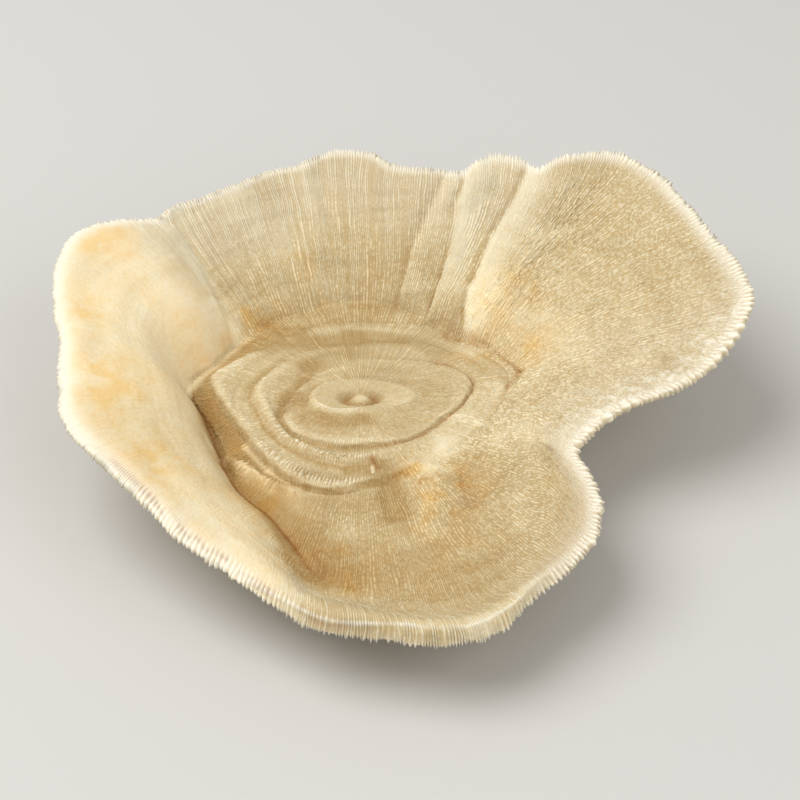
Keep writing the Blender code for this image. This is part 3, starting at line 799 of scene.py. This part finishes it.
    # painted shade at the wall's foot, in the basin, on the front-left wall, at the front and on the
    # back wall; darker too in the pits and between the lip's septa
    paintedLightShadeTone -= pits - 0.9 * lowerLip + 0.9 * paintedFootShadow + 0.5 * band * (1 - ridge)
    paintedLightShadeTone -= 0.5 * part["leftFront"] * (stage > 0.1) * (stage < 1)
    paintedLightShadeTone -= (0.2 * part["rightLobe"] * (1 - rightFootLight) + 0.1 * cool) * onTop
    paintedLightShadeTone -= (0.5 + 0.5 * part["basin"]) * basin + 0.42 * part["front"] * (stage < 2)
    paintedLightShadeTone -= 0.22 * back * clamp(1 - foldLight) * (1.6 - softStep(stage, 0.2, 0.6))
    paintedLightShadeTone += 0.16 * wave(20, 3.5, 21) + 0.12 * wave(60, 1.5, 22)
    # warm stains, with the painted glow of the left lobe, the painted light of the right foot and a
    # little of the painted foot shadow
    warmth = stainLayer(sheet) + 0.12 * paintedFootShadow + 0.35 * rightFootLight + 0.42 * leftOnly + 0.25 * paintedGlow
    # rust, with a painted shadow line along the crease at the wall's foot, and the pits darker
    rustAndShade = bell(stage + 0.02, 0.03) * part["footShadowLine"] * 0.8 + rustAndShadowLayer(sheet) + 0.7 * pits
    layers = {
        "crest": raised["painted"] * (1 - 0.5 * leftOnly) + 0.3 * leftOnly,
        "edge": edge,
        "stainAndGlow": clamp(warmth) * (stage < 1.2),
        "rustAndShade": clamp(rustAndShade) * (stage < 1),
        "paintedLightShadeTone": paintedLightShadeTone,
        "under": softStep(stage, 1.3, 2.0),
    }
    count = sheet.shape[1]
    width = count // len(saucer["sectors"])
    offset = -width // 2 + 1
    for k, name in enumerate(saucer["sectors"]):
        picked = (np.arange(width + 1) + offset + k * width) % count
        looks = {key: layer[:, picked] for key, layer in layers.items()}
        gridPiece(name, shaped[:, picked], looks, material, closed=False)
    return shaped


# the stepped rings round the polyp, from the plateau's crest out to the ledge; each step has the
# reach and the height that it adds to its growth line, and its height at the right
rings = {
    "rows": 101,
    "finer": 9,
    "fineHeight": 0.10,
    "steps": {
        "plateau": [(0, 0, 0), (0.6, -0.25, -0.3), (1.6, -0.6, -0.7)],
        "innerGroove": [
            (-3.4, 0.62, 0.6), (-1.6, 0.72, 0.7), (-0.7, 0.66, 0.66), (-0.25, 0.45, 0.45),
            (0, -0.35, -0.1), (0.35, -0.4, -0.1),
        ],
        "middleCrest": [
            (-1.1, 0, -0.35), (-0.2, 0.25, -0.45), (0.6, -0.15, -0.55), (1.4, -1.15, -0.65),
            (2, -1.2, -0.7),
        ],
        "outerCrest": [(-2.8, -0.2, 0.2), (-1, 0.3, 0.15), (0, 0.15, 0.05), (0.6, -0.25, 0)],
    },
    "crestSteps": (0, 5, 10, 15.5),
    "grooveSteps": (2.2, 7.4, 12.6, 17.6),
}


def ringPiece(columns, wallStart, material):
    bearing = (columns["bearing"] + columns["turn"])[::2]
    lines = []
    right = sector(bearing, "ringsRight")
    smoother = np.maximum(sector(bearing, "ringsBack"), 0.2 * sector(bearing, "ringsLeft"))[None]
    share = np.arange(len(bearing)) / len(bearing)
    before = np.zeros(len(bearing))
    steps = [(name,) + step for name, group in rings["steps"].items() for step in group]
    for k, (name, addedReach, addedHeight, atRight) in enumerate(steps):
        uneven = 0.45 * noise(share * 22, k * 0.35, 55, 22) + 0.2 * noise(share * 61, k * 0.5, 56, 61)
        line = growthLine(name, bearing, addedReach + uneven * min(k, 3) / 3)
        reach = np.linalg.norm(line[:, :2], axis=1)
        held = np.maximum(reach, before + 0.12)
        line[:, :2] *= (held / reach)[:, None]
        before = held
        line[:, 2] += addedHeight * (1 - right) + atRight * right
        line[:, 2] += 0.16 * min(k, 3) / 3 * noise(share * 14, k * 0.6, 57, 14)
        lines.append(withStage(line, k))
    lines.append(withStage(ledgeLine(bearing), len(lines)))
    sheet = evenRows(lines, rings["rows"], rings["finer"])[0]
    soft = sheet[..., :3].copy()
    soften(soft, 2)
    sheet[..., :3] = soft
    soften(soft, 48)
    sheet[..., :3] += (soft - sheet[..., :3]) * smoother[..., None]
    sheet[..., 2] += strokes(sheet, floorLumps)
    step = sheet[..., 3]
    calm = (1 - 0.8 * right[None]) * (1 - 0.75 * smoother)
    crestness = sum(bell(step - at, 0.9) for at in rings["crestSteps"]) * calm
    groove = sum(bell(step - at, 0.7) for at in rings["grooveSteps"]) * calm
    lips = clamp(crestness * (step > 8)) * sector(bearing, "ringLips")[None]
    wave = waves(sheet)
    clumps = wave(104, 2.5, 60)
    strength = 0.26 + 0.16 * crestness + (0.6 + 0.6 * clumps) * lips + 0.25 * smoother
    coarser = lips * (1.3 + 1.1 * clumps)
    raised = raiseSepta(sheet, 1, 51, coarser, strength, 1.8, 0.42, 0.9 - 0.6 * smoother)
    run, ridge = raised["run"], raised["ridge"]
    fine = rings["fineHeight"] * (wave(8, 0.95, 52) + 0.6 * wave(26, 0.5, 53))
    fine = fine + 0.22 * wave(16, 4.0, 54)
    start = softStep(run, 0, 0.7)
    relief = raised["height"] * start + fine * softStep(run, 0, 1)
    leaning = (0.3 * crestness + 0.5 * lips) * (ridge - 0.5) * start + 0.4 * lips * wave(200, 3.0, 61)
    shaped = sheet[..., :3] + raised["normal"] * relief[..., None]
    shaped += raised["around"] * (raised["sway"] * 0.6 * start)[..., None]
    shaped += raised["outward"] * leaning[..., None]
    joining = softStep(np.arange(rings["rows"]), rings["rows"] - 6, rings["rows"] - 1)[:, None, None]
    shaped += (wallStart[None] - shaped[-1:]) * joining
    shaped[-1] = wallStart
    shaped[0] = straightened(shaped[0], 4)
    # painted light on the ring crests and painted shade in the grooves and between the lips' septa
    paintedLightShadeTone = -0.42 + 0.55 * crestness - 0.9 * groove - 0.8 * lips * (1 - ridge) + paintedLightShadeLayer(sheet)
    layers = {
        "crest": raised["painted"],
        "edge": (0.10 * crestness + 0.2 * lips * clamp(0.6 + clumps)) * ridge,
        "stainAndGlow": clamp(stainLayer(sheet) + 0.25 * groove),
        # painted shadow: a thin brown line along the inner groove at the right
        "rustAndShade": clamp(0.7 * bell(step - 7.4, 0.7) * right[None] + rustAndShadowLayer(sheet)),
        "paintedLightShadeTone": paintedLightShadeTone + 0.2 * wave(12, 1.1, 58) + 0.12 * wave(70, 1.6, 59),
        "under": 0 * step,
    }
    gridPiece("ringTerraces", shaped, layers, material)
    return shaped[0]


# the polyp's cup: a columella in a moat, on the plateau; ovals by width, depth, height and pit
polyp = {
    "centre": (0.0, 0.2),
    "ovals": [(0.12, 0.1, 2.85, 0), (1.1, 0.8, 2.8, 0), (1.9, 1.25, 2.4, 0.5), (2.8, 1.6, 1.8, 0.7),
              (3.7, 2, 1.95, 0.5), (4.8, 2.6, 2.75, 0.1), (6, 3.2, 3.15, 0)],
    "rows": 46,
}


def polypPiece(columns, plateauRow, material):
    bearing = (columns["bearing"] + columns["turn"])[::8]
    angle = np.radians(bearing)
    lines = []
    for k, (wide, deep, height, pit) in enumerate(polyp["ovals"]):
        reach = 1 / np.hypot(np.cos(angle) / wide, np.sin(angle) / deep)
        height = height + pit * (0.5 - np.cos(angle) ** 2)
        lines.append(withStage(roundLine(polyp["centre"], reach, angle, height), k))
    lines.append(withStage(plateauRow[::4], len(lines)))
    sheet = evenRows(lines, polyp["rows"], 8)[0]
    soften(sheet, 2)
    raised = raiseSepta(sheet, 1, 71, 0.0, 0.5, 1.0)
    row = np.arange(polyp["rows"])[:, None]
    fade = softStep(row, 3, 12) * softStep(polyp["rows"] - 1 - row, 0, 4)
    shaped = sheet[..., :3] + raised["normal"] * (raised["height"] * fade)[..., None]
    columella = bell(raised["run"], 1.3)
    moat = bell(sheet[..., 3] - 3.2, 1.1)
    # painted light on the columella and painted shade in the moat, deepest at its two ends
    layers = {
        "crest": 0.5 + (raised["painted"] - 0.5) * 0.6 * fade,
        "edge": 0.05 * columella,
        "stainAndGlow": moat * 0.4,
        "rustAndShade": moat * 0.35 * np.abs(np.cos(angle))[None] ** 3,
        "paintedLightShadeTone": -0.25 + 0.35 * columella - moat * (0.3 + 0.7 * np.cos(angle)[None] ** 2),
        "under": 0 * moat,
    }
    closeMiddle(gridPiece("polypCup", shaped, layers, material), polyp["centre"])


underside = {
    "stages": (0.93, 0.86, 0.79, 0.72, 0.64, 0.56, 0.48, 0.4, 0.32, 0.24, 0.16, 0.1, 0.04),
    "rows": 85,
    "costaHeight": 0.26,
}


def stalkLine(above, addedReach, height):
    away = above[:, :2] - stalk["centre"]
    angle = np.arctan2(away[:, 1], away[:, 0])
    uneven = 1 + 0.05 * np.cos(3 * angle + 0.6) + 0.03 * np.cos(5 * angle)
    return roundLine(stalk["centre"], (stalk["radius"] + addedReach) * uneven, angle, height)


def undersidePiece(columns, wallEnd, material):
    lines = [wallEnd[::2]] + [underLine(columns, t)[::2] for t in underside["stages"]]
    foot = lines[-1]
    flare = stalkLine(foot, stalk["flareReach"], stalk["flareHeight"])
    lines += [foot * 0.5 + flare * 0.5 + (0, 0, 0.5), flare]
    cut = stalk["cutHeight"]
    for ends in ((stalk["neckReach"], stalk["neckHeight"]), (0.25, cut + 0.8), (0.0, cut)):
        lines.append(stalkLine(foot, *ends))
    sheet, length = evenRows(lines, underside["rows"], 6)
    soften(sheet, 5)
    run = runAlong(sheet)
    wave = waves(sheet)
    level = mergeLevel(columnGap(sheet), 2, septa["pitch"] * 2, 0.0)
    ridge = septumRidges(level, 2)
    ripple = 0.22 * wave(16, 1.8, 91) + 0.4 * wave(32, 7.0, 92)
    remaining = length[None, :] - run
    fade = softStep(run, 0, 1.5) * softStep(remaining, 0, 2.0)
    height = (ridge - 1) * underside["costaHeight"] + (ripple + 0.05 * wave(416, 0.5, 93)) * fade
    shaped = sheet + sheetDirections(sheet)[2] * (height * softStep(remaining, 0, 0.6))[..., None]
    shaped[0] = sheet[0]
    shaped[-1] = straightened(sheet[-1], 4)
    layers = {
        "crest": ridge,
        "edge": 0 * run,
        "stainAndGlow": clamp(0.35 + 0.5 * wave(21, 6.0, 94)),
        "rustAndShade": clamp(0.5 * wave(40, 3.0, 96) - 0.15),
        "paintedLightShadeTone": -0.2 + 0.25 * wave(13, 5.0, 95),
        "under": 0 * run + 1,
    }
    gridPiece("underside", shaped, layers, material)
    return sheet[-1, ::4]


cutFace = {"rows": 26, "recess": 0.12}


# flat where it was sawn off its rock, with the section of the bone and its pores showing
def cutPiece(edge, material):
    centre = np.array([stalk["centre"] + (stalk["cutHeight"],)])
    shares = np.linspace(0, 0.99, cutFace["rows"])
    sheet = np.stack([withStage(edge * (1 - share) + centre * share, share) for share in shares])
    pit = softStep(flatNoise(sheet, 1.1, 101) + flatNoise(sheet, 0.5, 102), 0.35, 1.0)
    pit = pit * softStep(sheet[..., 3], 0.02, 0.1)
    shaped = sheet[..., :3].copy()
    shaped[..., 2] += cutFace["recess"] * pit
    layers = {
        "crest": 1 - pit,
        "edge": 0 * pit,
        "stainAndGlow": 0.3 * bell(sheet[..., 3] - 0.1, 0.2),
        "rustAndShade": 0.4 * pit,
        "paintedLightShadeTone": -0.6 * pit + 0.2,
        "under": 0 * pit + 0.5,
    }
    closeMiddle(gridPiece("cutFace", shaped, layers, material), stalk["centre"])


boneLook = {
    "crest": (0.84, 0.765, 0.56),
    "flesh": (0.66, 0.545, 0.325),
    "gap": (0.50, 0.385, 0.200),
    "shade": (0.66, 0.56, 0.40),
    "stainAndGlow": (0.98, 0.80, 0.52),
    "rustAndShade": (0.62, 0.40, 0.20),
    "rim": (0.94, 0.90, 0.78),
    "under": (0.60, 0.49, 0.33),
    "grainSize": 2600,
    "speckleSize": 1500,
    "surface": {
        "Roughness": 0.78, "Specular IOR Level": 0.35, "Subsurface Weight": 0.12,
        "Subsurface Radius": (1.0, 0.7, 0.4), "Subsurface Scale": 0.0012,
    },
    "bump": {"Strength": 0.35, "Distance": 0.0001},
}


def fill(node, values):
    for key, value in values.items():
        node.inputs[key].default_value = value


class Nodes:
    def __init__(self, name):
        self.material = bpy.data.materials.new(name)
        self.material.use_nodes = True
        self.tree = self.material.node_tree
        self.shader = self.tree.nodes["Principled BSDF"]

    def add(self, kind, **settings):
        node = self.tree.nodes.new(kind)
        for key, value in settings.items():
            setattr(node, key, value)
        return node

    def join(self, output, target):
        self.tree.links.new(output, target)

    def layer(self, name):
        return self.add("ShaderNodeAttribute", attribute_name=name).outputs["Fac"]

    def give(self, socket, value):
        if isinstance(value, bpy.types.NodeSocket):
            self.join(value, socket)
        elif value is not None:
            socket.default_value = value + (1.0,) if isinstance(value, tuple) else value

    def maths(self, operation, first, second, third=None, clamp=False):
        node = self.add("ShaderNodeMath", operation=operation, use_clamp=clamp)
        for socket, value in zip(node.inputs, (first, second, third)):
            self.give(socket, value)
        return node.outputs[0]

    def mix(self, share, first, second, blend="MIX"):
        node = self.add("ShaderNodeMix", data_type="RGBA", blend_type=blend)
        for index, value in ((0, share), (6, first), (7, second)):
            self.give(node.inputs[index], value)
        return node.outputs[2]

    def noise(self, scale, detail):
        node = self.add("ShaderNodeTexNoise")
        fill(node, {"Scale": scale, "Detail": detail, "Roughness": 0.55})
        self.join(self.places, node.inputs["Vector"])
        return node.outputs["Fac"]


def makeBone():
    nodes = Nodes("coralBone")
    nodes.places = nodes.add("ShaderNodeTexCoord").outputs["Object"]
    maths, mix = nodes.maths, nodes.mix
    crest, edge, stainAndGlow, rustAndShade, paintedLightShadeTone, under = map(
        nodes.layer, ("crest", "edge", "stainAndGlow", "rustAndShade", "paintedLightShadeTone", "under"))
    mottle = nodes.noise(160, 4)
    grain = nodes.noise(boneLook["grainSize"], 2)
    height = maths("MULTIPLY_ADD", maths("SUBTRACT", grain, 0.5), 0.5, crest, clamp=True)
    base = mix(maths("POWER", height, 1.2), boneLook["gap"], boneLook["flesh"])
    base = mix(maths("MULTIPLY", maths("POWER", height, 2.5), 0.85), base, boneLook["crest"])
    # painted light and painted shade: the layer lightens towards the crest colour and darkens by the
    # shade colour
    lighter = maths("MULTIPLY", paintedLightShadeTone, 0.55, clamp=True)
    base = mix(lighter, base, boneLook["crest"])
    darker = maths("MULTIPLY", paintedLightShadeTone, -0.85, clamp=True)
    base = mix(darker, base, boneLook["shade"], "MULTIPLY")
    # warm stains, with the painted glow and the painted light of the right foot
    patch = maths("MULTIPLY_ADD", maths("SUBTRACT", mottle, 0.5), 1.6, stainAndGlow, clamp=True)
    patch = maths("MULTIPLY", maths("MULTIPLY", patch, stainAndGlow), 1.6, clamp=True)
    base = mix(patch, base, boneLook["stainAndGlow"], "MULTIPLY")
    speckle = maths("SUBTRACT", nodes.noise(boneLook["speckleSize"], 2), 0.5)
    speckle = maths("MULTIPLY", speckle, 2.2, clamp=True)
    base = mix(speckle, base, boneLook["stainAndGlow"], "MULTIPLY")
    # rust, with the painted shadow lines
    base = mix(rustAndShade, base, boneLook["rustAndShade"], "MULTIPLY")
    base = mix(maths("MULTIPLY", under, 0.45), base, boneLook["under"])
    base = mix(maths("MULTIPLY", edge, 0.9, clamp=True), base, boneLook["rim"])
    nodes.join(base, nodes.shader.inputs["Base Color"])
    fill(nodes.shader, boneLook["surface"])
    bump = nodes.add("ShaderNodeBump")
    fill(bump, boneLook["bump"])
    nodes.join(grain, bump.inputs["Height"])
    nodes.join(bump.outputs["Normal"], nodes.shader.inputs["Normal"])
    return nodes.material


studio = {
    "floorColour": (0.58, 0.57, 0.545),
    "floorSize": 3.0,
    "lights": {
        "keyLight": ((-0.46, -0.02, 0.80), 0.8, 6.9),
        "fillLight": ((0.6, -0.55, 0.6), 0.9, 3.2),
    },
    "world": {"Color": (1, 0.985, 0.95, 1), "Strength": 0.5},
}


def makeFloor():
    floor = link("studioFloor", gridMesh("studioFloor", 1, 1, studio["floorSize"] / 2))
    nodes = Nodes("paleFloor")
    fill(nodes.shader, {"Base Color": studio["floorColour"] + (1.0,), "Roughness": 0.9})
    floor.data.materials.append(nodes.material)


def makeLight(name, place, size, power):
    lamp = bpy.data.lights.new(name, "AREA")
    lamp.shape = "DISK"
    lamp.size = size
    lamp.energy = power
    light = link(name, lamp)
    light.location = place
    light.rotation_euler = (-Vector(place)).to_track_quat("-Z", "Y").to_euler()


photo = {"elevation": 40.0, "distance": 0.48, "lens": 108.0, "aim": (7.8, 2.8, 0.0)}


def makeCamera():
    lens = bpy.data.cameras.new("photoCamera")
    lens.lens = photo["lens"]
    lens.sensor_width = 36.0
    camera = link("photoCamera", lens)
    rise = math.radians(photo["elevation"])
    back = Vector((0, -math.cos(rise), math.sin(rise)))
    aim = Vector((np.array(photo["aim"]) - origin) * mm)
    camera.location = aim + back * photo["distance"]
    camera.rotation_euler = (-back).to_track_quat("-Z", "Y").to_euler()
    bpy.context.scene.camera = camera


def makeStudio():
    makeFloor()
    for name, settings in studio["lights"].items():
        makeLight(name, *settings)
    world = bpy.data.worlds.new("studioWorld")
    world.use_nodes = True
    fill(world.node_tree.nodes["Background"], studio["world"])
    bpy.context.scene.world = world
    bpy.context.scene.view_settings.view_transform = "Standard"
    makeCamera()


def makeCoral():
    bone = makeBone()
    columns = makeColumns(septa["count"] * 2)
    shaped = wallPieces(columns, bone)
    plateauRow = ringPiece(columns, shaped[0, ::2], bone)
    polypPiece(columns, plateauRow, bone)
    edge = undersidePiece(columns, shaped[-1], bone)
    cutPiece(edge, bone)
    print("made the coral")


makeCoral()
makeStudio()
print("made the studio")
